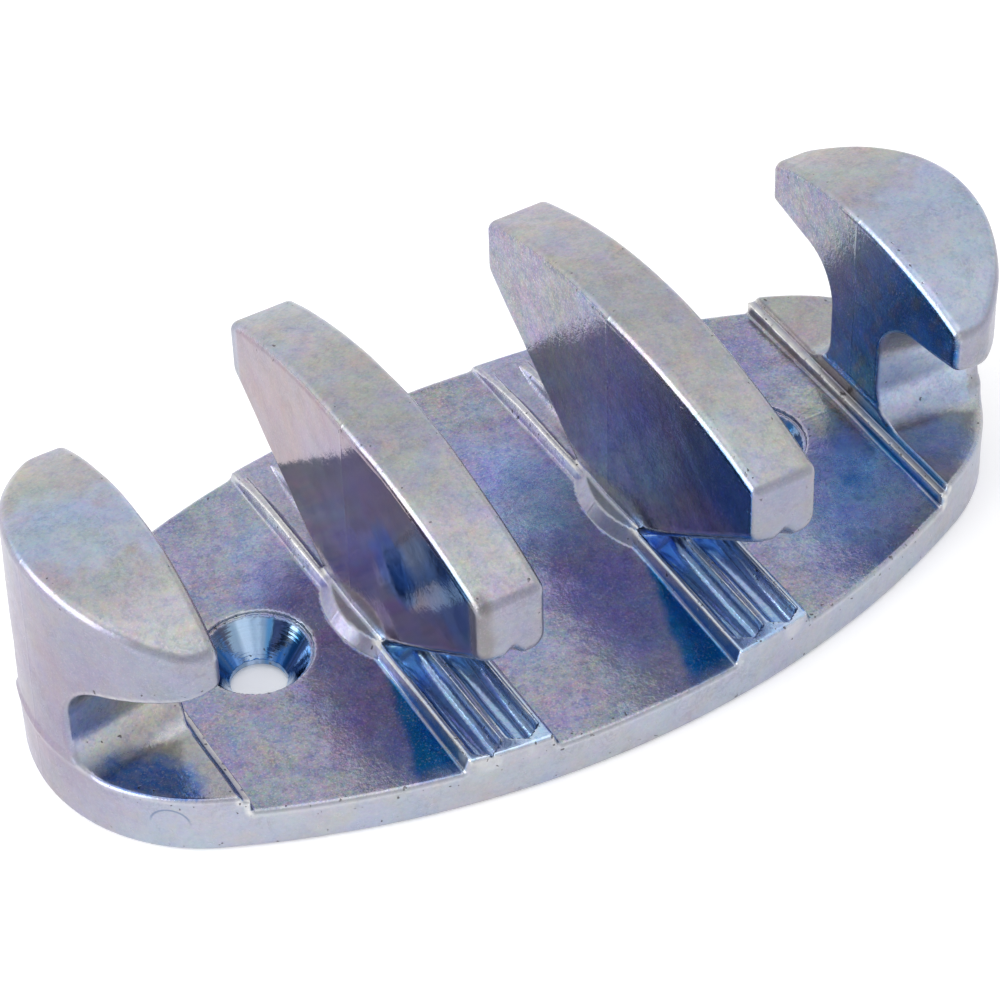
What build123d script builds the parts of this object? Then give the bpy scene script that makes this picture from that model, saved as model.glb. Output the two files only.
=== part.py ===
"""Zig-zag rope cleat: a cast boat-shaped base with two screw holes and four horns across it.

The casting is one rigid piece. It is written as the base plate with its low stem roots and the four
horns that stand on them, each a closed solid, meeting face to face on one level cut.
X runs along the cleat, Y across it and Z up. The origin is the middle of the flat underside.
"""
import os
from math import cos, hypot, radians, tan

from build123d import *

os.makedirs("parts", exist_ok=True)

# Base plate
LENGTH = 114.0
WIDTH = 56.8
END_RADIUS = 20.0  # plan radius of both rounded ends
DECK_CENTRE_Z = 5.6  # deck height on the centreline, where the two mould halves met
DECK_RIM_Z = 5.0  # deck height at the middle of each long side
WALL_EDGE_RADIUS = 0.8  # rounding round the bottom of the side wall
END_WALL_Z = 8.8  # top of the side wall in front of each end horn's stem

# Countersunk screw holes for 1/4 inch flat-head screws
SCREW_X = 31.0
SCREW_HOLE_RADIUS = 3.1
SINK_RADIUS = 6.1
SINK_ANGLE = 70.0

# Middle horns
MIDDLE_X = 15.9
MIDDLE_HALF_THICKNESS = 4.3  # at the centreline
MOULD_DRAFT = 1.0  # degrees that the faces close in towards the tips
MIDDLE_REACH = 26.3  # centreline to tip face
MIDDLE_CREST_Z = 32.4
MIDDLE_CREST_RADIUS = 66.0
MIDDLE_TIP_LOW_Z = 21.2  # bottom edge of the tip face, at its corners
MIDDLE_ROOT_REACH = 6.2  # half width of the stem on the rope pads
LOBE_RADIUS = 1.85  # two half-round lobes along the underside of each arm
LOBE_X = 1.75  # each side of the arm's middle

# Oval flare at the foot of each middle horn
FLARE_FOOT_HALF = 7.0
FLARE_FOOT_REACH = 9.4
FLARE_RISE = 2.8
FLARE_TOP_HALF = 4.1
FLARE_TOP_REACH = 6.0

# Fluted rope pads under the arms of the middle horns
PAD_CREST_Z = 6.7
PAD_CREST_HALF = 3.95
PAD_FOOT_HALF = 4.8
FLUTE_RADIUS = 1.65
FLUTE_X = 1.87  # each side of the pad's middle

# End horns and the raised pads under their arms
END_STEP_X = 42.5  # the pad's step up from the deck
END_FACE_X = 42.8  # the horn's inner face, at the centreline
END_TIP_SETBACK = 0.7  # how far the inner face bows away towards the tips
END_CREST_Z = 31.7
END_CREST_RADIUS = 40.0
END_REACH = 18.3
END_HORN_RADIUS = 21.6  # plan radius of the horn's outer face
END_INSET = 0.4  # how far the outer face stays inside the end of the base
END_PAD_Z = 7.5
ARM_UNDERSIDE_Z = 22.2
STEM_HALF_INNER = 4.3
STEM_SPLAY = 10.0  # degrees that the stem widens towards the end of the cleat
MOUTH_RADIUS = 6.0  # rounding where the stem meets the arm and the pad

CREST_EDGE_RADIUS = 1.0
TIP_EDGE_RADIUS = 1.3
CREST_TILT = 30.0  # degrees; no crest slopes more than this, and no tip less
ROOT_Z = 9.0  # level of the cut between the base's stem roots and the horns

OVERLAP = 1.0  # how far joined blocks run into each other
SPAN = 200.0  # longer than the cleat, for cutting blocks


def outline():
    """The base's plan: two end arcs joined by two tangent side arcs."""
    half_length = LENGTH / 2
    half_width = WIDTH / 2
    end_centre = half_length - END_RADIUS
    side_radius = (end_centre**2 + half_width**2 - END_RADIUS**2) / (2 * (half_width - END_RADIUS))
    side_centre = side_radius - half_width
    reach = hypot(end_centre, side_centre)
    x = end_centre + END_RADIUS * end_centre / reach
    y = END_RADIUS * side_centre / reach
    edges = [
        ThreePointArc((x, -y), (half_length, 0), (x, y)),
        ThreePointArc((x, y), (0, half_width), (-x, y)),
        ThreePointArc((-x, y), (-half_length, 0), (-x, -y)),
        ThreePointArc((-x, -y), (0, -half_width), (x, -y)),
    ]
    return make_face(edges)


def across(face):
    """A block with the given (y, z) section, as long as the cleat and more."""
    return extrude(Plane.YZ * face, amount=SPAN / 2, both=True)


def along(face, y_from, y_to):
    """A block with the given (x, z) section, from one y to another."""
    return Pos(0, y_to, 0) * extrude(Plane.XZ * face, amount=y_to - y_from)


def polygon(*corners):
    """A flat face with straight sides."""
    return make_face(Polyline(*corners, close=True))


def both_ends(shape):
    """The shape with its mirror image at the other end of the cleat."""
    return shape + mirror(shape, about=Plane.YZ)


def both_sides(shape):
    """The shape with its mirror image on the other side of the centreline."""
    return shape + mirror(shape, about=Plane.XZ)


def rope_pad():
    """The raised pad at X = MIDDLE_X, right across the base."""
    section = polygon(
        (MIDDLE_X - PAD_FOOT_HALF, 0),
        (MIDDLE_X + PAD_FOOT_HALF, 0),
        (MIDDLE_X + PAD_FOOT_HALF, DECK_RIM_Z),
        (MIDDLE_X + PAD_CREST_HALF, PAD_CREST_Z),
        (MIDDLE_X - PAD_CREST_HALF, PAD_CREST_Z),
        (MIDDLE_X - PAD_FOOT_HALF, DECK_RIM_Z),
    )
    return along(section, -WIDTH, WIDTH)


def end_block():
    """The raised end of the base, beyond the step at END_STEP_X."""
    section = polygon(
        (END_STEP_X, 0),
        (LENGTH, 0),
        (LENGTH, END_WALL_Z),
        (END_STEP_X, END_WALL_Z),
    )
    return along(section, -WIDTH, WIDTH)


def base_blank():
    """The boat-shaped base with its gabled deck, rope pads and raised ends."""
    fall = (DECK_CENTRE_Z - DECK_RIM_Z) / (WIDTH / 2)
    eaves_z = DECK_CENTRE_Z - fall * WIDTH
    gable = polygon((-WIDTH, -OVERLAP), (WIDTH, -OVERLAP), (WIDTH, eaves_z), (0, DECK_CENTRE_Z), (-WIDTH, eaves_z))
    top = across(gable) + both_ends(rope_pad()) + both_ends(end_block())
    plate = extrude(outline(), amount=END_WALL_Z + OVERLAP)
    plate = fillet(plate.edges().group_by(Axis.Z)[0], radius=WALL_EDGE_RADIUS)
    return plate & top


def root_flare():
    """The oval flare at the foot of the middle horn at X = MIDDLE_X."""
    foot = Pos(MIDDLE_X, 0, DECK_CENTRE_Z - OVERLAP) * Ellipse(
        FLARE_FOOT_HALF + OVERLAP, FLARE_FOOT_REACH + OVERLAP
    )
    top = Pos(MIDDLE_X, 0, DECK_CENTRE_Z + FLARE_RISE) * Ellipse(FLARE_TOP_HALF, FLARE_TOP_REACH)
    return loft([foot, top])


def flutes():
    """The flutes in the rope pad at X = MIDDLE_X, open at the rim and closed against the horn's stem."""
    grooves = []
    for offset in (-FLUTE_X, FLUTE_X):
        section = Pos(MIDDLE_X + offset, PAD_CREST_Z) * Circle(FLUTE_RADIUS)
        grooves.append(along(section, MIDDLE_ROOT_REACH - OVERLAP, WIDTH))
    return both_sides(grooves[0] + grooves[1])


def arm_lobes():
    """Two half-round lobes side by side along the underside of each arm of a middle horn."""
    run = MIDDLE_REACH - MIDDLE_ROOT_REACH
    rise = MIDDLE_TIP_LOW_Z - PAD_CREST_Z
    slope = hypot(run, rise)
    start = Plane(origin=(0, MIDDLE_ROOT_REACH, PAD_CREST_Z), x_dir=(1, 0, 0), z_dir=(0, run, rise))
    lobes = []
    for offset in (-LOBE_X, LOBE_X):
        lobes.append(start * Pos(offset, 0, -slope) * extrude(Circle(LOBE_RADIUS), amount=3 * slope))
    low_z = PAD_CREST_Z - 2 * OVERLAP
    high_z = MIDDLE_TIP_LOW_Z + 2 * LOBE_RADIUS
    arm = polygon((0, low_z), (MIDDLE_REACH, low_z), (MIDDLE_REACH, high_z), (0, high_z))
    return both_sides((lobes[0] + lobes[1]) & across(arm))


def middle_horn():
    """The middle horn at X = MIDDLE_X, from inside the base up to its arched crest."""
    tip_top_z = MIDDLE_CREST_Z - MIDDLE_CREST_RADIUS
    tip_top_z = tip_top_z + (MIDDLE_CREST_RADIUS**2 - MIDDLE_REACH**2) ** 0.5
    low_z = DECK_RIM_Z - 2 * OVERLAP
    sides = []
    for side in (-1, 1):
        tip = side * MIDDLE_REACH
        root = side * MIDDLE_ROOT_REACH
        sides.append(Line((tip, tip_top_z), (tip, MIDDLE_TIP_LOW_Z)))
        sides.append(Line((tip, MIDDLE_TIP_LOW_Z), (root, PAD_CREST_Z)))
        sides.append(Line((root, PAD_CREST_Z), (root, low_z)))
    crest_line = ThreePointArc((-MIDDLE_REACH, tip_top_z), (0, MIDDLE_CREST_Z), (MIDDLE_REACH, tip_top_z))
    foot_line = Line((-MIDDLE_ROOT_REACH, low_z), (MIDDLE_ROOT_REACH, low_z))
    profile = across(make_face([crest_line, foot_line, *sides]))
    tip_half = MIDDLE_HALF_THICKNESS - MIDDLE_REACH * tan(radians(MOULD_DRAFT))
    plan = polygon(
        (-tip_half, -MIDDLE_REACH),
        (tip_half, -MIDDLE_REACH),
        (MIDDLE_HALF_THICKNESS, 0),
        (tip_half, MIDDLE_REACH),
        (-tip_half, MIDDLE_REACH),
        (-MIDDLE_HALF_THICKNESS, 0),
    )
    horn = profile & extrude(plan, amount=MIDDLE_CREST_Z + OVERLAP)
    tips = horn.edges().filter_by(Axis.Z).filter_by(lambda e: abs(e.center().Y) > MIDDLE_REACH - OVERLAP)
    horn = fillet(tips, radius=TIP_EDGE_RADIUS)
    crest = horn.faces().filter_by(lambda f: f.normal_at().Z > cos(radians(CREST_TILT))).sort_by(Axis.Z)[-1]
    horn = fillet(crest.edges(), radius=CREST_EDGE_RADIUS)
    return Pos(MIDDLE_X, 0, 0) * (horn + arm_lobes())


def end_horn():
    """The end horn at the +X end, before its arms are opened out underneath."""
    tip_top_z = END_CREST_Z - END_CREST_RADIUS
    tip_top_z = tip_top_z + (END_CREST_RADIUS**2 - END_REACH**2) ** 0.5
    low_z = END_WALL_Z - OVERLAP
    profile = make_face(
        [
            ThreePointArc((-END_REACH, tip_top_z), (0, END_CREST_Z), (END_REACH, tip_top_z)),
            Line((END_REACH, tip_top_z), (END_REACH, low_z)),
            Line((END_REACH, low_z), (-END_REACH, low_z)),
            Line((-END_REACH, low_z), (-END_REACH, tip_top_z)),
        ]
    )
    corner_x = END_FACE_X + END_TIP_SETBACK
    corner_y = END_REACH + OVERLAP
    beyond = make_face(
        [
            ThreePointArc((corner_x, -corner_y), (END_FACE_X, 0), (corner_x, corner_y)),
            Line((corner_x, corner_y), (LENGTH, corner_y)),
            Line((LENGTH, corner_y), (LENGTH, -corner_y)),
            Line((LENGTH, -corner_y), (corner_x, -corner_y)),
        ]
    )
    plan = Pos(LENGTH / 2 - END_INSET - END_HORN_RADIUS, 0) * Circle(END_HORN_RADIUS) & beyond
    horn = extrude(plan, amount=END_CREST_Z + OVERLAP) & across(profile)
    crest = horn.faces().filter_by(lambda f: f.normal_at().Z > cos(radians(CREST_TILT))).sort_by(Axis.Z)[-1]
    long_edges = crest.edges().filter_by(lambda e: abs(e.center().Y) < OVERLAP)
    return fillet(long_edges, radius=CREST_EDGE_RADIUS)


def arm_mouth():
    """The opening under the +Y arm of the +X end horn: a round-ended slot, splayed along the stem."""
    height = ARM_UNDERSIDE_Z - END_PAD_Z
    length = WIDTH
    slot = Pos(STEM_HALF_INNER + length / 2, END_PAD_Z + height / 2) * RectangleRounded(
        length, height, MOUTH_RADIUS
    )
    shift = tan(radians(STEM_SPLAY))
    start_x = END_STEP_X - OVERLAP
    run = LENGTH / 2 + OVERLAP - start_x
    section = Pos(start_x, -OVERLAP * shift, 0) * (Plane.YZ * slot)
    return extrude(section, amount=run * hypot(1, shift), dir=(1, shift, 0))


def screw_hole():
    """A countersunk hole through the deck, at X = SCREW_X."""
    depth = (SINK_RADIUS - SCREW_HOLE_RADIUS) / tan(radians(SINK_ANGLE / 2))
    through = Cylinder(SCREW_HOLE_RADIUS, 4 * DECK_CENTRE_Z)
    cone = Pos(0, 0, DECK_CENTRE_Z - depth / 2) * Cone(SCREW_HOLE_RADIUS, SINK_RADIUS, depth)
    above = Pos(0, 0, DECK_CENTRE_Z + OVERLAP / 2) * Cylinder(SINK_RADIUS, OVERLAP)
    return Pos(SCREW_X, 0, 0) * (through + cone + above)


def casting():
    """The whole cleat as one body."""
    base = base_blank() + both_ends(root_flare()) - both_ends(flutes())
    body = base + both_ends(middle_horn()) + both_ends(end_horn())
    return body - both_ends(both_sides(arm_mouth())) - both_ends(screw_hole())


def write_nodes(body):
    """Cut the casting at the stem roots and write each node."""
    below = Pos(0, 0, ROOT_Z - SPAN / 2) * Box(SPAN, SPAN, SPAN)
    above = Pos(0, 0, ROOT_Z + SPAN / 2) * Box(SPAN, SPAN, SPAN)
    nodes = {"base_plate": body & below}
    names = ["end_horn_left", "middle_horn_left", "middle_horn_right", "end_horn_right"]
    horns = (body & above).solids().sort_by(Axis.X)
    for name, horn in zip(names, horns, strict=True):
        nodes[name] = horn
    for name, shape in nodes.items():
        shape.label = name
        export_step(shape, f"parts/{name}.step")
        print(name, len(shape.solids()), round(shape.volume, 1))


write_nodes(casting())
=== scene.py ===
import math

import bmesh
import bpy
import numpy as np
from mathutils import Matrix, Vector


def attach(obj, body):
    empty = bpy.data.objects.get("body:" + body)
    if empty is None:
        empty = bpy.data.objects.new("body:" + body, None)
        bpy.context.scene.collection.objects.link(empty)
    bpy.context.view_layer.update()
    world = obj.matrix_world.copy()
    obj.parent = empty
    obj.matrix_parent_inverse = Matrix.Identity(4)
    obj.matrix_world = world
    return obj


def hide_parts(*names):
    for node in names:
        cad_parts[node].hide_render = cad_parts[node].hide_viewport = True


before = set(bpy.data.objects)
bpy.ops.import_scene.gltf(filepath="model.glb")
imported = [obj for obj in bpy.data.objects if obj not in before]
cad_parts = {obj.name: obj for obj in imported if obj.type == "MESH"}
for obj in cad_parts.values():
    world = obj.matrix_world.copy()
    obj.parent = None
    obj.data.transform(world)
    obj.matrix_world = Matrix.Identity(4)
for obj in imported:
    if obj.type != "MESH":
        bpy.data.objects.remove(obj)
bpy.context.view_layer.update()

# ---------------------------------------------------------------- sizes, in mm

MM = 0.001
STEP = 0.3  # grid pitch that the cast surface is read at
MARGIN = 1.2  # room for the grid around the base
OVERLAP = 0.7  # how far each grid runs past the cut
MAX_TRIANGLES = 190000

ROOT_Z = 9.0  # level cut at which the horns stand on the base's stem roots
HALF_LENGTH, HALF_WIDTH = 57.0, 28.4
END_ARC_X, END_ARC_R = 37.0, 20.0
SIDE_ARC_Y, SIDE_ARC_R = 77.3, 105.7
DECK_Z, DECK_SLOPE = 5.62, 0.0211

MIDDLE_X = 15.9  # middle horns, from the centre of the cleat
BOW_LEFT, BOW_RIGHT, BOW_Y = 0.4, 0.9, 26.0  # their near tips lean to the right
HORN_Z, HORN_CREST_R = 32.4, 66.0
HORN_HALF, HORN_TAPER = 4.35, 0.0185
HORN_STEM, ARM_TIP, ARM_UNDER_Z = 6.3, 26.3, 19.15
ARM_DOWN = (0.585, 0.811)  # which way the arms' undersides face: outwards, downwards

PAD_SHIFT = 0.45  # pads and flares, to the left of the horns
ROPE_PAD_Z, ROPE_PAD_HALF = 6.75, 4.55
PAD_SINKS_FROM, PAD_SINK_RATE = 16.0, 20.0  # towards the back rim
FLUTE_U, FLUTE_R, FLUTE_FLOOR_Z = 2.15, 1.75, 4.9
FLUTE_START, FLUTE_END = 5.5, 26.4
FLARE_INSET, FLARE_FORWARD, FLARE_R, FLARE_Z = 5.3, 1.2, 12.1, 6.9

PAD_Z, PAD_X = 8.8, 43.1  # raised pads at the ends
LEDGE_Z, LEDGE_X = 6.9, 42.3
END_FACE_LEFT, END_FACE_RIGHT, END_FACE_Y = 42.8, 43.2, 18.3
END_FLANK_X, END_FLANK_R = 35.0, 21.9
END_HORN_Z, END_CREST_R, END_HORN_FOOT = 31.75, 40.0, 8.0
END_TIP_NEAR, END_TIP_FAR_LEFT, END_TIP_FAR_RIGHT = 18.0, 17.0, 17.4
STEM_LEFT, STEM_RIGHT, STEM_X = 4.3, 4.7, 42.7  # half-widths, and where they are measured
MOUTH_X, MOUTH_FLOOR_Z, MOUTH_ROOF_Z = 40.0, 7.5, 22.2

SCREWS = ((-31.6, 0.35), (30.5, 0.35))  # as drilled, a little off the pattern's middle
SINK_RADIUS, SINK_LIP_Z, DRILL_RADIUS = 6.1, 5.05, 3.05

# ---------------------------------------------------------------- the casting as a distance field


def round_max(*fields, r):
    """Intersection of solids, with its edges rounded to radius r."""
    total = 0.0
    for f in fields:
        total = total + np.maximum(f + r, 0) ** 2
    highest = fields[0]
    for f in fields[1:]:
        highest = np.maximum(highest, f)
    return np.minimum(highest, -r) + np.sqrt(total)


def round_min(*fields, r):
    """Union of solids, with a fillet of radius r where they meet."""
    return -round_max(*[-f for f in fields], r=r)


def by_side(x, left, right):
    """One value on the left half of the cleat, another on the right."""
    return np.where(x > 0, right, left)


def unevenness(x, y, z):
    """The slow waviness of a cast skin."""
    wave = np.sin(0.43 * x + 1.1 * np.sin(0.19 * y + 0.3 * z)) * np.sin(0.37 * y + 0.7)
    wave = wave + 0.8 * np.sin(0.71 * y - 0.33 * z + 1.9) * np.sin(0.52 * z + 0.27 * x + 0.4)
    wave = wave + 0.35 * np.sin(1.3 * x + 0.9 * z + 2.1) * np.sin(1.15 * y - 0.6 * x)
    return 0.022 * wave


def plan_outline(ax, ay):
    """The base's plan: an arc round each end, joined by an arc along each side."""
    in_end_sector = ax * SIDE_ARC_Y > END_ARC_X * (ay + SIDE_ARC_Y)
    end = np.hypot(ax - END_ARC_X, ay) - END_ARC_R
    side = np.hypot(ax, ay + SIDE_ARC_Y) - SIDE_ARC_R
    return np.where(in_end_sector, end, side)


def along_pad(x):
    """Distance along the cleat from the middle of the nearer pad and flare."""
    return by_side(x, x + MIDDLE_X, x - MIDDLE_X) + PAD_SHIFT


def along_horn(x, y):
    """Distance along the cleat from the middle of the nearer middle horn, which bows."""
    bow = by_side(x, BOW_LEFT, BOW_RIGHT) * np.clip(-y / BOW_Y, 0, 1) ** 1.5
    return by_side(x, x + MIDDLE_X, x - MIDDLE_X) - bow


def middle_horn(u, y, z):
    """A T-shaped horn with a shallow groove under its arms; u runs along the cleat."""
    au, ay = np.abs(u), np.abs(y)
    half = HORN_HALF - ay * HORN_TAPER
    crest = np.hypot(y, z + HORN_CREST_R - HORN_Z) - HORN_CREST_R
    sag = np.clip(0.22 * u, -0.6, 0.3)
    groove = np.clip(0.95 - 0.75 * np.abs(u - 0.25), 0, 0.8)
    outwards, downwards = ARM_DOWN
    under = (ay - ARM_TIP) * outwards - (z - ARM_UNDER_Z + sag) * downwards + groove
    arms = round_max(au - half, np.minimum(under, ay - HORN_STEM), r=1.6)
    return round_max(arms, crest, ay - ARM_TIP, r=1.0)


def root_flare(v, y, z):
    """The lens-shaped flare beside a middle horn's foot, with a flat top level with the pad."""
    arc = np.hypot(np.abs(v) + FLARE_INSET, y + FLARE_FORWARD) - FLARE_R
    side = (arc + 0.9 * (z - 5.5)) * 0.74
    return round_max(side, z - FLARE_Z, r=0.1)


def rope_pad(v, y, z):
    """The pad under a middle horn's arms and the two flutes cut into it."""
    au, ay = np.abs(v), np.abs(y)
    sink = np.maximum(y - PAD_SINKS_FROM, 0) ** 2 / PAD_SINK_RATE
    side = (au - ROPE_PAD_HALF) * 0.95 + (z - ROPE_PAD_Z) * 0.31
    pad = round_max(z - ROPE_PAD_Z + 0.17 * sink, side, r=0.2)
    flute = np.hypot(au - FLUTE_U, z - ROPE_PAD_Z) - FLUTE_R
    flute = round_max(flute, FLUTE_START - ay, FLUTE_FLOOR_Z + 0.27 * sink - z, r=0.3)
    flute = round_max(flute, -y - FLUTE_END + 0.6 * np.abs(au - FLUTE_U), r=0.3)
    return pad, flute


def end_horn(x, y, z):
    """A hooded horn at the end of the cleat, before its arms are opened underneath."""
    ax, ay = np.abs(x), np.abs(y)
    inner = by_side(x, END_FACE_LEFT, END_FACE_RIGHT) + 0.75 * (y / END_FACE_Y) ** 2 - ax
    lean = by_side(x, 0.03, 0.0)
    flank = END_FLANK_R - lean * np.maximum(z - ROOT_Z, 0)
    outer = np.hypot(ax - END_FLANK_X, y) - flank
    crest = np.hypot(y, z + END_CREST_R - END_HORN_Z) - END_CREST_R
    far_tip = by_side(x, END_TIP_FAR_LEFT, END_TIP_FAR_RIGHT)
    tip = np.where(y < 0, END_TIP_NEAR, far_tip)
    return round_max(inner, outer, crest, ay - tip, END_HORN_FOOT - z, r=1.0)


def arm_mouth(x, y, z):
    """The openings under an end horn's arms."""
    ax = np.abs(x)
    ay = np.abs(y + by_side(x, 0.0, 0.45))
    stem = by_side(x, STEM_LEFT, STEM_RIGHT) + (ax - STEM_X) * 0.127 - ay
    roof = z - (MOUTH_ROOF_Z + 0.1 * (ay - 10.0) - 0.2 * (ax - 43.0))
    arch = round_max(stem, roof, r=5.2)
    return np.maximum(round_max(arch, MOUTH_FLOOR_Z - z, r=4.2), MOUTH_X - ax)


def screw_hole(x, y, z):
    """The nearer hole: distance and angle from its axis, and its field."""
    cx, cy = (by_side(x, left, right) for left, right in zip(*SCREWS))
    rho = np.hypot(x - cx, y - cy)
    turn = np.arctan2(y - cy, x - cx)
    cone = (rho - 5.75 + (5.0 - z) * 0.71) * 0.815
    lip = np.maximum(rho - SINK_RADIUS, SINK_LIP_Z - z)
    sink = np.maximum(np.minimum(cone, lip), z - 7.5)
    drill = np.maximum(rho - DRILL_RADIUS, z - 6.0)
    under = (rho - DRILL_RADIUS - 0.5 + z) * 0.707
    return rho, turn, np.minimum(np.minimum(sink, drill), under)


def casting(x, y, z):
    """Distance to the whole cleat's surface, negative inside."""
    ax, ay = np.abs(x), np.abs(y)
    v = along_pad(x)
    deck = z - (DECK_Z - DECK_SLOPE * np.sqrt(y * y + 1.0))
    pad, flute = rope_pad(v, y, z)
    top = round_min(round_min(deck, pad, r=0.3), root_flare(v, y, z), r=0.12)
    top = round_max(top, -flute, r=0.15)
    step = round_max(PAD_X - ax, z - PAD_Z, r=0.2)
    ledge = round_max(LEDGE_X - ax, z - LEDGE_Z + 0.15 * (43.0 - ax), r=0.12)
    top = round_min(top, round_min(step, ledge, r=0.12), r=0.3)
    solid = round_max(top, plan_outline(ax, ay), r=0.6)
    solid = round_min(solid, middle_horn(along_horn(x, y), y, z), r=0.5)
    solid = round_min(solid, end_horn(x, y, z), r=0.8)
    solid = round_max(solid, -arm_mouth(x, y, z), r=0.6)
    solid = round_max(solid, -z, r=0.8)
    solid = round_max(solid, -screw_hole(x, y, z)[2], r=0.12)
    return solid + unevenness(x, y, z) * np.clip(z / 1.5, 0, 1)


def field(p):
    return casting(p[:, 0], p[:, 1], p[:, 2])


def gradient(p, eps=0.04):
    g = np.empty_like(p)
    for axis in range(3):
        shift = np.zeros(3)
        shift[axis] = eps
        g[:, axis] = (field(p + shift) - field(p - shift)) / (2 * eps)
    return g


# ---------------------------------------------------------------- surface nets


def sampled(low, counts):
    """The casting's field at every point of a grid."""
    axes = [a + STEP * np.arange(n) for a, n in zip(low, counts)]
    values = np.empty(counts)
    yy, zz = np.meshgrid(axes[1], axes[2], indexing="ij")
    for i, x in enumerate(axes[0]):
        values[i] = casting(np.full_like(yy, x), yy, zz)
    return values


def net_points(f, cells):
    """One point in each cell: the mean of the surface's crossings of the cell's edges."""
    total = np.zeros((len(cells), 3))
    number = np.zeros(len(cells))
    ci, cj, ck = cells.T
    for axis in range(3):
        for a, b in ((0, 0), (0, 1), (1, 0), (1, 1)):
            start = np.insert(np.array([a, b]), axis, 0)
            end = np.insert(np.array([a, b]), axis, 1)
            fa = f[ci + start[0], cj + start[1], ck + start[2]]
            fb = f[ci + end[0], cj + end[1], ck + end[2]]
            cross = (fa < 0) != (fb < 0)
            t = np.where(cross, fa / np.where(cross, fa - fb, 1.0), 0.0)
            point = start + t[:, None] * (end - start)
            total[cross] += point[cross]
            number[cross] += 1
    return cells + total / number[:, None]


def net_quads(inside, index):
    """One quad round each grid edge that crosses the surface, facing outwards."""
    counts = inside.shape
    quads = []
    for axis in range(3):
        a = [slice(None)] * 3
        b = [slice(None)] * 3
        a[axis], b[axis] = slice(0, -1), slice(1, None)
        edges = np.argwhere(inside[tuple(a)] != inside[tuple(b)])
        o1, o2 = [k for k in range(3) if k != axis]
        keep = (edges[:, o1] > 0) & (edges[:, o2] > 0)
        keep &= (edges[:, o1] < counts[o1] - 1) & (edges[:, o2] < counts[o2] - 1)
        edges = edges[keep]
        ring = []
        for d1, d2 in ((0, 0), (-1, 0), (-1, -1), (0, -1)):
            cell = edges.copy()
            cell[:, o1] += d1
            cell[:, o2] += d2
            ring.append(index[cell[:, 0], cell[:, 1], cell[:, 2]])
        quad = np.stack(ring, 1)
        outward = inside[edges[:, 0], edges[:, 1], edges[:, 2]]
        if axis == 1:
            outward = ~outward
        quad[~outward] = quad[~outward][:, ::-1]
        quads.append(quad)
    return np.concatenate(quads)


def surface(low, high):
    """Vertices and quads of the casting's surface inside a box."""
    counts = [int(math.ceil((b - a) / STEP)) + 1 for a, b in zip(low, high)]
    f = sampled(low, counts)
    inside = f < 0
    nx, ny, nz = counts
    corners = np.zeros((nx - 1, ny - 1, nz - 1), np.int32)
    for i in (0, 1):
        for j in (0, 1):
            for k in (0, 1):
                corners += inside[i : nx - 1 + i, j : ny - 1 + j, k : nz - 1 + k]
    mixed = (corners > 0) & (corners < 8)
    cells = np.argwhere(mixed)
    index = np.full(mixed.shape, -1, np.int64)
    index[mixed] = np.arange(len(cells))
    return np.array(low) + STEP * net_points(f, cells), net_quads(inside, index)


def snapped(points, longest_move=0.25):
    """Move each vertex onto the true surface."""
    for _ in range(3):
        g = gradient(points)
        size = np.maximum((g * g).sum(1, keepdims=True), 0.05)
        move = field(points)[:, None] * g / size
        length = np.linalg.norm(move, axis=1, keepdims=True)
        points = points - move * np.minimum(1.0, longest_move / np.maximum(length, 1e-9))
    return points


# ---------------------------------------------------------------- paint kept on the vertices

# Plating colours, as sRGB; some of them also paint reflections and shade
BEIGE = (182, 180, 179)
SILVER = (174, 176, 185)
WALL = (154, 154, 165)
SKY = (184, 194, 212)
ROSE = (150, 138, 152)
FACE = (151, 134, 141)
ASH = (150, 147, 158)
LAVENDER = (173, 172, 190)
VIOLET = (142, 140, 190)
BLUE = (166, 188, 230)
INK = (72, 132, 214)
NAVY = (24, 124, 184)
STEEL = (198, 222, 248)
TURNED = (132, 158, 188)
CREAM = (206, 198, 180)
UMBER = (132, 126, 126)
RUST = (180, 146, 140)

# Areas of the deck: centre and half-axes in mm, turn in degrees, strength
VIOLET_AREAS = (
    ((-25.0, 7.5), (4.5, 4.0), 20, 0.85),
    ((-25.0, -6.0), (5.0, 16.0), 0, 0.75),
    ((4.5, -9.0), (5.0, 13.0), 10, 0.85),
    ((6.5, 12.0), (5.5, 7.0), 0, 0.4),
    ((-4.0, 12.0), (7.0, 9.0), 0, 0.5),
    ((31.0, -5.0), (5.0, 6.0), 0, 0.45),
    ((37.0, 14.0), (4.0, 5.0), 0, 0.4),
)
BLUE_AREAS = (
    ((-24.0, 14.0), (4.0, 5.0), 0, 0.4),
    ((5.0, 6.0), (6.5, 8.0), 0, 0.7),
    ((-6.5, -7.0), (4.0, 8.0), 0, 0.45),
    ((37.0, -13.0), (6.5, 7.5), 25, 0.8),
    ((-26.0, 9.0), (3.0, 3.0), 0, 0.5),
    ((30.0, -14.0), (5.0, 4.0), 0, 0.45),
)


def linear(colour):
    c = np.asarray(colour, float) / 255
    return np.where(c <= 0.04045, c / 12.92, ((c + 0.055) / 1.055) ** 2.4)


def smoothstep(a, b, v):
    t = np.clip((v - a) / (b - a), 0, 1)
    return t * t * (3 - 2 * t)


def oval(a, b, centre, size, turn=0.0, soft=0.5):
    """1 inside an oval that is turned by so many degrees, falling to 0 across its soft edge."""
    da, db = a - centre[0], b - centre[1]
    c, s = math.cos(math.radians(turn)), math.sin(math.radians(turn))
    r = np.hypot((da * c + db * s) / size[0], (db * c - da * s) / size[1])
    return smoothstep(1 + soft, 1 - soft, r)


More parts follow.
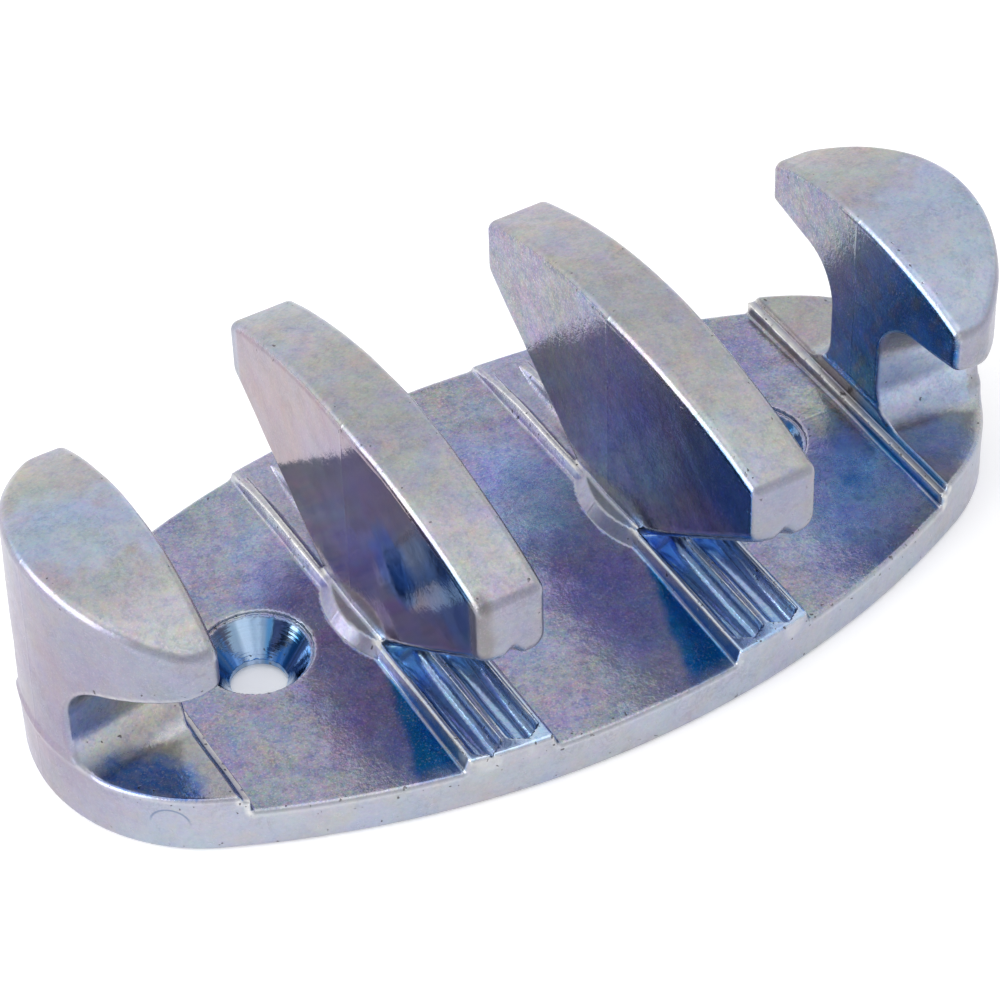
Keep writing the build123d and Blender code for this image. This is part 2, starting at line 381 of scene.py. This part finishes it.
def ripple(x, y, z):
    """A smooth made-up noise between -1 and 1, for ragged edges of the painted areas."""
    across = np.sin(1.1 * x + 1.7 * np.sin(0.6 * y + 0.4 * z))
    wave = across * np.sin(0.9 * y + 1.3 * np.sin(0.5 * x - 0.7 * z))
    return 0.6 * wave + 0.4 * np.sin(2.3 * x - 1.1 * z + 0.5) * np.sin(2.1 * y + 1.7 * z + 1.0)


class Coat:
    """The plating's colour, painted reflections and shade included, roughness and grain at every
    vertex, laid on area by area.
    """

    def __init__(self, count, colour, rough, grain):
        self.colour = np.tile(linear(colour), (count, 1))
        self.rough = np.full(count, rough)
        self.grain = np.full(count, grain)

    def lay(self, amount, colour=None, rough=None, grain=None):
        if colour is not None:
            self.colour += (linear(colour) - self.colour) * amount[:, None]
        if rough is not None:
            self.rough += (rough - self.rough) * amount
        if grain is not None:
            self.grain += (grain - self.grain) * amount


def paint_faces(coat, p, n):
    """The horns' long faces that look left, with painted reflections near their tips and middles.
    """
    x, y, z = p.T
    left_face = smoothstep(-0.4, -0.8, n[:, 0]) * smoothstep(6.5, 9.0, z)
    coat.lay(left_face, FACE, 0.11, 0.3)
    coat.lay(left_face * (x > 0), ASH, 0.17, 1.0)
    a, b = y + ripple(x, y, z), z + ripple(z, x, y)
    for side in (-MIDDLE_X, MIDDLE_X):
        near = left_face * (np.abs(x - side) < 7.0)
        # Painted reflection: deep navy towards each middle horn's near tip, for dark surroundings
        # mirrored there.
        tip = smoothstep(-12.0, -22.0, a) * smoothstep(17.0, 22.0, b)
        coat.lay(near * 0.75 * tip, NAVY)
        if side < 0:  # stands for the dark countersink that the photograph shows mirrored there
            coat.lay(near * 0.75 * oval(a, b, (-9.5, 20.0), (4.2, 4.6), 0, 0.25), NAVY)
        # Painted reflection: a violet cloud in the middle of each face, for the deck mirrored
        # there.
        coat.lay(near * 0.35 * oval(a, b, (-2.0, 22.0), (9.0, 8.0), 0, 0.7), VIOLET)
    end_face = left_face * (x > 40.0)
    # Painted reflection: deep navy on the right end horn's left face, deepest towards its near
    # side and foot.
    root = smoothstep(8.0, -6.0, y + 0.5 * (z - 20.0))
    streaks = smoothstep(0.0, 0.5, ripple(1.3 * y, z, 0.7 * y))
    coat.lay(end_face * 0.85 * root, NAVY)
    coat.lay(end_face * root * streaks * 0.45, UMBER)
    coat.lay(end_face * 0.8 * oval(y, z, (9.5, 9.0), (3.5, 2.2), 0, 0.6), RUST)


def paint_deck(coat, p, flat):
    """Lavender grey at the ends and along the rim, violet and blue between the horns, and a
    painted navy reflection beside each middle horn.
    """
    x, y, z = p.T
    deck = flat * (z < 6.2) * (z > 3.0)
    ragged = 1.3 * ripple(x, y, z)
    a, b = x + ragged, y + 1.3 * ripple(y, x, z)
    coat.lay(deck, LAVENDER, 0.2, 1.0)
    for centre, size, turn, amount in VIOLET_AREAS:
        coat.lay(deck * amount * oval(a, b, centre, size, turn), VIOLET)
    for centre, size, turn, amount in BLUE_AREAS:
        coat.lay(deck * amount * oval(a, b, centre, size, turn), BLUE, 0.3)
    # Painted reflection: a deep navy wedge on the deck left of each middle horn's near arm, for
    # the arm's dark underside mirrored there.
    for side in (-MIDDLE_X, MIDDLE_X):
        run = np.clip((-y - 6.5) / 20.0, 0, 1)
        from_horn = x - side + 0.25 * ragged
        beside = smoothstep(-5.0 - 6.5 * run, -4.2 - 5.9 * run, from_horn)
        beside = beside * (x < side - 3.5) * smoothstep(7.5, 9.5, -y)
        coat.lay(deck * beside, NAVY, 0.16, 0.8)
    coat.lay(deck * 0.6 * oval(a, b, (36.5, -11.0), (1.6, 1.8), 25), NAVY)
    coat.lay(deck * 0.55 * oval(a, b, (39.5, 1.0), (2.6, 4.5)), CREAM)
    rim = smoothstep(-2.5, -0.5, plan_outline(np.abs(x), np.abs(y)))
    coat.lay(deck * 0.5 * rim, SILVER)


def paint_pads(coat, p, n, flat):
    """The fluted pads, the flares at the horns' feet and the raised pads at the ends, with
    painted shade low in the near flutes.
    """
    x, y, z = p.T
    nx, _, nz = n.T
    ax, ay = np.abs(x), np.abs(y)
    av = np.abs(along_pad(x))
    on_pad = (av < 5.1) * smoothstep(8.5, 7.2, z) * smoothstep(4.0, 6.0, ay) * (z > 3.0)
    coat.lay(on_pad, LAVENDER, 0.22, 0.7)
    coat.lay(on_pad * smoothstep(3.0, -3.0, y), STEEL, 0.16, 0.7)
    # Painted shade: navy low down in the flutes and at the pads' feet, on their near half.
    coat.lay(on_pad * smoothstep(6.2, 5.2, z) * (y < 0) * 0.3, NAVY, 0.14, 0.7)
    flare = (av < 6.8) * (ay < 7.5) * smoothstep(5.6, 5.9, z) * (z < 7.0) * (nz < 0.93)
    coat.lay(flare, LAVENDER, 0.32, 0.4)
    riser = smoothstep(0.4, 0.7, np.abs(nx)) * (ax > 41.8) * (ax < 43.6) * (z < PAD_Z)
    coat.lay(riser, UMBER, 0.2, 0.4)
    coat.lay(riser * smoothstep(0.0, -5.0, y), NAVY, 0.16, 0.4)
    end_pads = flat * (z > 7.0) * (z < 9.2) * (ax > 42.5)
    coat.lay(end_pads, BEIGE, 0.2, 0.5)


def paint_crests(coat, p, n):
    """The horns' rounded tops."""
    x, y, z = p.T
    ax = np.abs(x)
    crest = smoothstep(0.35, 0.8, n[:, 2]) * smoothstep(14.0, 18.0, z)
    coat.lay(crest, BEIGE, 0.34, 0.5)
    drift = y + 2.0 * ripple(x, y, z) - 0.3 * (ax - 50.0)
    band = smoothstep(9.0, 4.0, drift) * smoothstep(-6.0, -2.0, drift)
    coat.lay(crest * (x < -40) * band * 0.9, SKY)
    coat.lay(crest * (x > 40) * smoothstep(6.0, 0.0, drift) * 0.9, SKY)
    smudge = smoothstep(-0.1, 0.6, ripple(0.6 * x, 0.5 * y, z)) * (ax < 40)
    coat.lay(crest * smudge * 0.55, LAVENDER)


def paint_outside(coat, p, n):
    """The arms' tips and the outer wall; returns where that wall is."""
    x, y, z = p.T
    nx, ny, nz = n.T
    ax, ay = np.abs(x), np.abs(y)
    tips = smoothstep(0.5, 0.9, ay / ARM_TIP * np.abs(ny)) * smoothstep(17.0, 18.5, z)
    coat.lay(tips, SILVER, 0.32, 0.25)
    upright = smoothstep(0.85, 0.6, np.abs(nz))
    outside = smoothstep(-2.6, -1.6, plan_outline(ax, ay)) * upright * (nx * x + ny * y > 0)
    coat.lay(outside, SILVER, 0.3, 0.25)
    coat.lay(np.maximum(outside, tips * (ax > 40)) * smoothstep(5.0, 12.0, z), WALL)
    return outside


def paint_mouths(coat, p, n):
    """The openings under the end horns' arms, with painted shade under their roofs and a
    scribbled blue painted reflection on their floors.
    """
    x, y, z = p.T
    ax, ay = np.abs(x), np.abs(y)
    in_mouth = (ax > 43.0) * (ay < 17.0) * (z > 7.7) * (z < 22.0)
    in_mouth = in_mouth * (plan_outline(ax, ay) < -1.5)
    mouth = in_mouth * smoothstep(0.3, 0.6, np.abs(n[:, 1]))
    coat.lay(mouth, BEIGE, 0.3, 0.6)
    coat.lay(mouth * (x > 0), SKY, 0.42, 0.6)
    # Painted shade: umber high in the openings, under the arms.
    coat.lay(mouth * smoothstep(15.0, 17.0, z) * 0.8, UMBER)
    # Painted reflection: the scribbled blue on the floors stands for the arms' dark undersides
    # mirrored there.
    a, b = ax + 0.8 * ripple(x, y, z), -y + ripple(y, x, z)
    scribble = (x < 0) * oval(a, b, (50.1, 12.7), (5.6, 3.6), -50, 0.3)
    scribble = scribble + 0.5 * (x > 0) * oval(a, b, (46.5, 12.5), (4.5, 4.0), 0, 0.5)
    streak = 0.82 + 0.18 * np.sin(5.0 * (x + 0.4 * y) + 5.0 * ripple(x, y, z))
    ground = smoothstep(0.6, 0.9, n[:, 2]) * (z < 10.0) * (z > 7.0) * (ax > 43.3)
    coat.lay(ground * 0.95 * scribble * streak, INK, 0.18, 1.0)


def paint_marks(coat, p, n, outside):
    """A rosy cast on the left end's wall and a small stain on the left middle horn's tip."""
    x, y, z = p.T
    west = outside * smoothstep(0.3, 0.9, -n[:, 0])
    west = west * oval(y, z, (0.0, 14.0), (12.0, 16.0), 0, 0.6)
    coat.lay(west * (x < 0) * 0.8, ROSE)
    stain = oval(x + 0.3 * ripple(z, x, y), y, (-18.6, -25.6), (0.9, 1.2), 0, 0.6)
    coat.lay(stain * (z > 20) * 0.8, UMBER, 0.35)


def paint_screw_holes(coat, p, n):
    """Turned metal with painted reflection bands round the cone and a painted dark ring at its
    top; returns the distance from the axis, for turning rings.
    """
    x, y, z = p.T
    rho, turn, _ = screw_hole(x, y, z)
    bore = (rho < SINK_RADIUS - 0.1) * (n[:, 2] < 0.9) * (z < 5.6)
    coat.lay(bore, TURNED, 0.1, 0.1)
    # Painted reflection: dark and light bands round the cone, by angle, for the surroundings
    # mirrored in the turned metal.
    reflection_bands = np.sin(3 * turn + 0.6) + 0.6 * np.sin(7 * turn + 1.9) + 0.5 * np.sin(17 * turn)
    coat.lay(bore * smoothstep(0.1, 1.5, reflection_bands) * 0.8, NAVY)
    coat.lay(bore * smoothstep(-0.2, -1.4, reflection_bands) * 0.7, STEEL)
    # Painted reflection: a dark ring at the top of the cone, for the dark mirrored in the rim's
    # step.
    coat.lay(bore * smoothstep(5.0, 5.2, z) * 0.9, NAVY)
    return rho * bore


def coating(p, n):
    """The whole plating, vertex by vertex, and the distance from the axis inside the holes."""
    coat = Coat(len(p), SILVER, 0.3, 0.35)
    flat = smoothstep(0.85, 0.97, n[:, 2])
    paint_faces(coat, p, n)
    paint_deck(coat, p, flat)
    paint_pads(coat, p, n, flat)
    paint_crests(coat, p, n)
    outside = paint_outside(coat, p, n)
    paint_mouths(coat, p, n)
    paint_marks(coat, p, n, outside)
    return coat, paint_screw_holes(coat, p, n)


def closeness(p, n, depth):
    """How near a convex edge is: 1 on it, 0 further in than the depth."""
    return np.clip((field(p - n * depth) + depth) / (0.62 * depth), 0, 1)


def without_wear_or_highlight(p):
    """1 round the countersinks and on the thin ends of the flutes: no edge gets pale wear and
    painted highlight there.
    """
    x, y, z = p.T
    around_screw = screw_hole(x, y, z)[0] < SINK_RADIUS + 0.8
    flute_end = (np.abs(along_pad(x)) < 4.4) & (np.abs(y) > 24.0) & (z > 3.0) & (z < 7.2)
    return (around_screw | flute_end).astype(float)


# ---------------------------------------------------------------- pieces


def cast_piece(name, low, high, keep_above):
    """The casting's surface inside a box, cut at the root level and closed there."""
    points, quads = surface(low, high)
    points = snapped(points)
    mesh = bpy.data.meshes.new(name)
    mesh.vertices.add(len(points))
    mesh.vertices.foreach_set("co", (points * MM).astype(np.float32).ravel())
    mesh.loops.add(quads.size)
    mesh.loops.foreach_set("vertex_index", quads.ravel().astype(np.int32))
    mesh.polygons.add(len(quads))
    mesh.polygons.foreach_set("loop_start", np.arange(0, quads.size, 4, dtype=np.int32))
    mesh.update(calc_edges=True)
    bm = bmesh.new()
    bm.from_mesh(mesh)
    bmesh.ops.bisect_plane(
        bm,
        geom=bm.verts[:] + bm.edges[:] + bm.faces[:],
        dist=1e-7,
        plane_co=(0, 0, ROOT_Z * MM),
        plane_no=(0, 0, 1),
        clear_outer=not keep_above,
        clear_inner=keep_above,
    )
    rim = [e for e in bm.edges if e.is_boundary]
    filled = bmesh.ops.holes_fill(bm, edges=rim, sides=0)["faces"]
    bmesh.ops.triangulate(bm, faces=filled)
    bmesh.ops.recalc_face_normals(bm, faces=bm.faces)
    bm.to_mesh(mesh)
    bm.free()
    piece = bpy.data.objects.new(name, mesh)
    bpy.context.scene.collection.objects.link(piece)
    return piece


def thin(piece, limit):
    """Bring a dense piece under a number of triangles, flattest areas first."""
    triangles = sum(len(f.vertices) - 2 for f in piece.data.polygons)
    if triangles <= limit:
        return
    modifier = piece.modifiers.new("thin", "DECIMATE")
    modifier.ratio = limit / triangles
    bpy.context.view_layer.update()
    evaluated = piece.evaluated_get(bpy.context.evaluated_depsgraph_get())
    fresh = bpy.data.meshes.new_from_object(evaluated)
    piece.modifiers.clear()
    old = piece.data
    piece.data = fresh
    bpy.data.meshes.remove(old)


def dress(piece, material):
    """True normals, painted coat and the material."""
    mesh = piece.data
    count = len(mesh.vertices)
    co = np.empty(count * 3, np.float32)
    mesh.vertices.foreach_get("co", co)
    p = co.reshape(-1, 3).astype(float) / MM
    n = gradient(p)
    n /= np.maximum(np.linalg.norm(n, axis=1, keepdims=True), 1e-9)
    coat, ring = coating(p, n)
    tint = mesh.attributes.new("tint", "FLOAT_COLOR", "POINT")
    tint_values = np.concatenate([coat.colour, np.ones((count, 1))], axis=1)
    tint.data.foreach_set("color", tint_values.astype(np.float32).ravel())
    values = {
        "rough": coat.rough,
        "grain": coat.grain,
        "ring": ring,
        # edge: where convex edges get pale wear and a painted highlight
        "edge": closeness(p, n, 0.7) * (1 - 0.7 * without_wear_or_highlight(p)),
        "brink": closeness(p, n, 1.8),
    }
    for key, value in values.items():
        layer = mesh.attributes.new(key, "FLOAT", "POINT")
        layer.data.foreach_set("value", value.astype(np.float32))
    mesh.polygons.foreach_set("use_smooth", np.ones(len(mesh.polygons), bool))
    loops = np.empty(len(mesh.loops), np.int32)
    mesh.loops.foreach_get("vertex_index", loops)
    normals = n[loops]
    for polygon in mesh.polygons:
        on_cut = all(abs(p[v, 2] - ROOT_Z) < 1e-4 for v in polygon.vertices)
        if on_cut or polygon.normal.z < -0.999:
            normals[list(polygon.loop_indices)] = polygon.normal
    mesh.normals_split_custom_set(normals.astype(np.float32).tolist())
    mesh.materials.clear()
    mesh.materials.append(material)
    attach(piece, "root")


# ---------------------------------------------------------------- plating


class Graph:
    """Short calls for building a node tree."""

    def __init__(self, material):
        material.use_nodes = True
        self.tree = material.node_tree
        self.tree.nodes.clear()

    def node(self, kind, **settings):
        made = self.tree.nodes.new(kind)
        for key, value in settings.items():
            setattr(made, key, value)
        return made

    def put(self, value, socket):
        if isinstance(value, bpy.types.NodeSocket):
            self.tree.links.new(value, socket)
        else:
            socket.default_value = value

    def math(self, operation, *values):
        made = self.node("ShaderNodeMath", operation=operation)
        for socket, value in zip(made.inputs, values):
            self.put(value, socket)
        return made.outputs[0]

    def times(self, a, b):
        return self.math("MULTIPLY", a, b)

    def off(self, value, middle):
        """How far a value is from a middle one, either way."""
        return self.math("ABSOLUTE", self.math("SUBTRACT", value, middle))

    def total(self, *terms):
        """Sum of (value, weight) pairs."""
        result = 0.0
        for value, weight in terms:
            result = self.math("MULTIPLY_ADD", value, weight, result)
        return result

    def ramp(self, value, low, high, to_low=0.0, to_high=1.0):
        made = self.node("ShaderNodeMapRange", interpolation_type="SMOOTHSTEP")
        for socket, item in zip(made.inputs, (value, low, high, to_low, to_high)):
            self.put(item, socket)
        return made.outputs[0]

    def mix(self, factor, a, b, blend="MIX"):
        made = self.node("ShaderNodeMix", data_type="RGBA", blend_type=blend)
        self.put(factor, made.inputs["Factor"])
        self.put(a, made.inputs[6])
        self.put(b, made.inputs[7])
        return made.outputs[2]

    def noise(self, vector, scale, detail=3.0, rough=0.55, distortion=0.0, output="Fac"):
        made = self.node("ShaderNodeTexNoise")
        self.put(vector, made.inputs["Vector"])
        settings = {
            "Scale": scale,
            "Detail": detail,
            "Roughness": rough,
            "Distortion": distortion,
        }
        for key, item in settings.items():
            made.inputs[key].default_value = item
        return made.outputs[output]

    def attribute(self, name, output="Fac"):
        return self.node("ShaderNodeAttribute", attribute_name=name).outputs[output]


def rgba(*colour):
    return (*linear(colour), 1.0)


# What the plating's colour is multiplied by, as linear RGBA
COOL_CLOUD = (0.94, 0.98, 1.06, 1)
WARM_PATCH = (1.03, 0.99, 0.91, 1)
SOFT_SHADE = (0.8, 0.84, 0.93, 1)
DARK_GRAIN = (0.72, 0.77, 0.88, 1)
GREY_VEIN = (0.72, 0.7, 0.7, 1)
# What is mixed into it
PALE_SPECK = rgba(212, 212, 224)
# pale wear and a painted highlight on convex edges
RUBBED_AND_HIGHLIT_EDGE = rgba(226, 225, 220)
DARK_PIT = rgba(86, 82, 84)
MARK_LINE = rgba(96, 116, 146)

MARK_CENTRE = (-0.0498, -0.0154, 0.0039)  # round mould mark on the left end of the rim, m
MARK_RADIUS, MARK_WIDTH = 0.0021, 0.00022
SEAM_WIDTH = 0.0003  # mould seam along the middle, m


def mould_mark(g, place, height):
    """The upper part of a fine circle on the rim."""
    away = g.node("ShaderNodeVectorMath", operation="DISTANCE")
    g.put(place, away.inputs[0])
    away.inputs[1].default_value = MARK_CENTRE
    line = g.ramp(g.off(away.outputs["Value"], MARK_RADIUS), MARK_WIDTH, 0.0)
    return g.times(line, g.ramp(height, 0.0036, 0.0052))


def plating():
    """Zinc plating with a thin blue-violet film: a metal whose painted tint is broken up."""
    material = bpy.data.materials.new("zinc_plate")
    g = Graph(material)
    place = g.node("ShaderNodeTexCoord").outputs["Object"]
    axes = g.node("ShaderNodeSeparateXYZ")
    g.put(place, axes.inputs[0])
    grain, edge, brink = g.attribute("grain"), g.attribute("edge"), g.attribute("brink")

    cloud = g.noise(place, 90, 3, 0.5, 0.3)
    sheen = g.noise(place, 240, 3, 0.55, 0.5, output="Color")
    patch = g.noise(place, 330, 3, 0.6, 0.6)
    soft = g.noise(place, 620, 3, 0.6, 0.5)
    mottle = g.noise(place, 1000, 3, 0.65, 0.4)
    pit = g.noise(place, 1700, 1, 0.4)
    hue = g.noise(place, 2300, 2, 0.6, output="Color")
    fine = g.noise(place, 3000, 2, 0.65)
    speck = g.noise(place, 4600, 1, 0.5)

    colour = g.attribute("tint", "Color")
    colour = g.mix(g.math("MULTIPLY_ADD", grain, 0.3, 0.03), colour, sheen, "OVERLAY")
    colour = g.mix(g.ramp(cloud, 0.4, 0.62, 0, 0.8), colour, COOL_CLOUD, "MULTIPLY")
    colour = g.mix(g.ramp(patch, 0.48, 0.66, 0, 0.8), colour, WARM_PATCH, "MULTIPLY")
    colour = g.mix(g.times(grain, 0.4), colour, hue, "OVERLAY")
    shade = g.times(g.ramp(soft, 0.42, 0.62), grain)
    colour = g.mix(shade, colour, SOFT_SHADE, "MULTIPLY")
    dark = g.ramp(g.total((mottle, 0.45), (fine, 0.55)), 0.5, 0.6)
    colour = g.mix(g.times(dark, grain), colour, DARK_GRAIN, "MULTIPLY")
    light = g.ramp(speck, 0.6, 0.7, 0, 0.4)
    colour = g.mix(g.times(light, grain), colour, PALE_SPECK)
    # Convex edges paler: partly wear, partly a painted highlight.
    wear_and_highlight = g.times(edge, g.ramp(mottle, 0.3, 0.6, 0.5, 1.0))
    colour = g.mix(wear_and_highlight, colour, RUBBED_AND_HIGHLIT_EDGE)
    vein = g.ramp(g.off(g.noise(place, 520, 5, 0.75, 0.8), 0.5), 0.06, 0.0)
    veined = g.ramp(g.noise(place, 200, 2, 0.5), 0.47, 0.62, 0, 0.45)
    colour = g.mix(g.times(vein, veined), colour, GREY_VEIN, "MULTIPLY")
    pits = g.times(g.ramp(pit, 0.715, 0.75), g.ramp(brink, 0.15, 0.6, 0, 0.8))
    colour = g.mix(pits, colour, DARK_PIT)
    mark = mould_mark(g, place, axes.outputs[2])
    colour = g.mix(g.times(mark, 0.7), colour, MARK_LINE)

    uneven = g.math("SUBTRACT", mottle, 0.5)
    roughness = g.total((g.attribute("rough"), 1.0), (uneven, 0.16), (edge, 0.06))

    turning = g.node("ShaderNodeTexNoise", noise_dimensions="1D")
    g.put(g.attribute("ring"), turning.inputs["W"])
    turning.inputs["Scale"].default_value = 5.0
    seam = g.ramp(g.math("ABSOLUTE", axes.outputs[1]), SEAM_WIDTH, 0.0)
    height = g.total(
        (mark, 0.03),
        (g.times(fine, grain), 0.013),
        (g.times(mottle, grain), 0.032),
        (patch, 0.03),
        (seam, 0.015),
        (pits, -0.1),
        (turning.outputs[0], 0.01),
    )
    bump = g.node("ShaderNodeBump")
    bump.inputs["Strength"].default_value = 1.0
    bump.inputs["Distance"].default_value = MM
    g.put(height, bump.inputs["Height"])

    shader = g.node("ShaderNodeBsdfPrincipled")
    shader.inputs["Metallic"].default_value = 1.0
    g.put(colour, shader.inputs["Base Color"])
    g.put(roughness, shader.inputs["Roughness"])
    g.put(bump.outputs[0], shader.inputs["Normal"])
    output = g.node("ShaderNodeOutputMaterial")
    g.put(shader.outputs[0], output.inputs[0])
    return material


# ---------------------------------------------------------------- the object

# Each piece's box for the grid, and whether it is what lies above the cut
BASE_X, BASE_Y = HALF_LENGTH + MARGIN, HALF_WIDTH + MARGIN
PIECES = {
    "base_plate": ((-BASE_X, -BASE_Y, -MARGIN), (BASE_X, BASE_Y, ROOT_Z + OVERLAP), False),
    "middle_horn_left": ((-22.4, -27.6, ROOT_Z - OVERLAP), (-9.4, 27.6, 33.6), True),
    "middle_horn_right": ((9.4, -27.6, ROOT_Z - OVERLAP), (22.4, 27.6, 33.6), True),
    "end_horn_left": ((-58.2, -19.6, ROOT_Z - OVERLAP), (-41.2, 19.6, 33.0), True),
    "end_horn_right": ((41.2, -19.6, ROOT_Z - OVERLAP), (58.2, 19.6, 33.0), True),
}
zinc = plating()
for node, (low, high, keep_above) in PIECES.items():
    piece = cast_piece("cast_" + node, low, high, keep_above)
    thin(piece, MAX_TRIANGLES)
    dress(piece, zinc)
    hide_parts(node)

# ---------------------------------------------------------------- floor, light and camera

FLOOR_GREY = (0.92, 0.92, 0.92, 1)
FLOOR_GLOW = 0.24  # lifts the floor to the photograph's white
# Height in the sky, as 0 to 1, and brightness there
SKY_LEVELS = ((0.0, 1.05), (0.35, 1.0), (0.6, 0.8), (0.8, 0.82), (0.95, 1.0))

# The photograph's camera, in degrees, metres and parts of the picture's width
AZIMUTH, ELEVATION, ROLL, DISTANCE = -29.516, 43.247, -1.678, 0.4041
TARGET = np.array([0.0, 0.0, 0.010])
SENSOR_MM, FOCAL_RATIO = 36.0, 3.7717
SHIFT_X, SHIFT_Y = -0.0156, 0.0130


def pale_floor():
    bpy.ops.mesh.primitive_plane_add(size=6)
    floor = bpy.context.object
    floor.name = "floor"
    material = bpy.data.materials.new("pale_floor")
    g = Graph(material)
    shader = g.node("ShaderNodeBsdfPrincipled")
    shader.inputs["Base Color"].default_value = FLOOR_GREY
    shader.inputs["Roughness"].default_value = 0.9
    shader.inputs["Emission Color"].default_value = (1, 1, 1, 1)
    shader.inputs["Emission Strength"].default_value = FLOOR_GLOW
    g.put(shader.outputs[0], g.node("ShaderNodeOutputMaterial").inputs[0])
    floor.data.materials.append(material)
    return floor


def studio():
    """A white room: bright low down, dimmer half-way up, brighter again overhead."""
    world = bpy.data.worlds.new("studio")
    bpy.context.scene.world = world
    world.use_nodes = True
    tree = world.node_tree
    direction = tree.nodes.new("ShaderNodeTexCoord").outputs["Generated"]
    axes = tree.nodes.new("ShaderNodeSeparateXYZ")
    tree.links.new(direction, axes.inputs[0])
    ramp = tree.nodes.new("ShaderNodeValToRGB")
    stops = ramp.color_ramp.elements
    for index, (height, level) in enumerate(SKY_LEVELS):
        stop = stops[index] if index < 2 else stops.new(height)
        stop.position = height
        stop.color = (level, level, level * 1.02, 1)
    tree.links.new(axes.outputs[2], ramp.inputs[0])
    background = tree.nodes["Background"]
    tree.links.new(ramp.outputs[0], background.inputs[0])
    background.inputs[1].default_value = 1.0


def softbox(name, place, target, size, radiance):
    data = bpy.data.lights.new(name, "AREA")
    data.shape = "RECTANGLE"
    data.size, data.size_y = size
    data.energy = radiance * math.pi * size[0] * size[1]
    lamp = bpy.data.objects.new(name, data)
    bpy.context.scene.collection.objects.link(lamp)
    lamp.location = place
    lamp.rotation_euler = (Vector(target) - Vector(place)).to_track_quat("-Z", "Y").to_euler()


def photo_camera():
    az, el, roll = (math.radians(v) for v in (AZIMUTH, ELEVATION, ROLL))
    back = np.array([math.sin(az) * math.cos(el), -math.cos(az) * math.cos(el), math.sin(el)])
    right = np.cross([0, 0, 1], back)
    right /= np.linalg.norm(right)
    up = np.cross(back, right)
    across = math.cos(roll) * right + math.sin(roll) * up
    above = -math.sin(roll) * right + math.cos(roll) * up
    data = bpy.data.cameras.new("camera")
    camera = bpy.data.objects.new("camera", data)
    bpy.context.scene.collection.objects.link(camera)
    pose = Matrix.Identity(4)
    for row in range(3):
        pose[row][0], pose[row][1], pose[row][2] = across[row], above[row], back[row]
        pose[row][3] = TARGET[row] + DISTANCE * back[row]
    camera.matrix_world = pose
    data.sensor_width = SENSOR_MM
    data.lens = SENSOR_MM * FOCAL_RATIO
    data.shift_x = SHIFT_X
    data.shift_y = SHIFT_Y
    data.clip_start = 0.01
    return camera


pale_floor()
studio()
bpy.context.scene.view_settings.view_transform = "Standard"
softbox("top", (0.0, -0.1, 0.8), (0, 0, 0), (0.6, 0.6), 0.45)
softbox("left", (-0.75, 0.1, 0.42), (0, 0, 0.01), (0.95, 0.6), 2.8)
bpy.context.scene.camera = photo_camera()
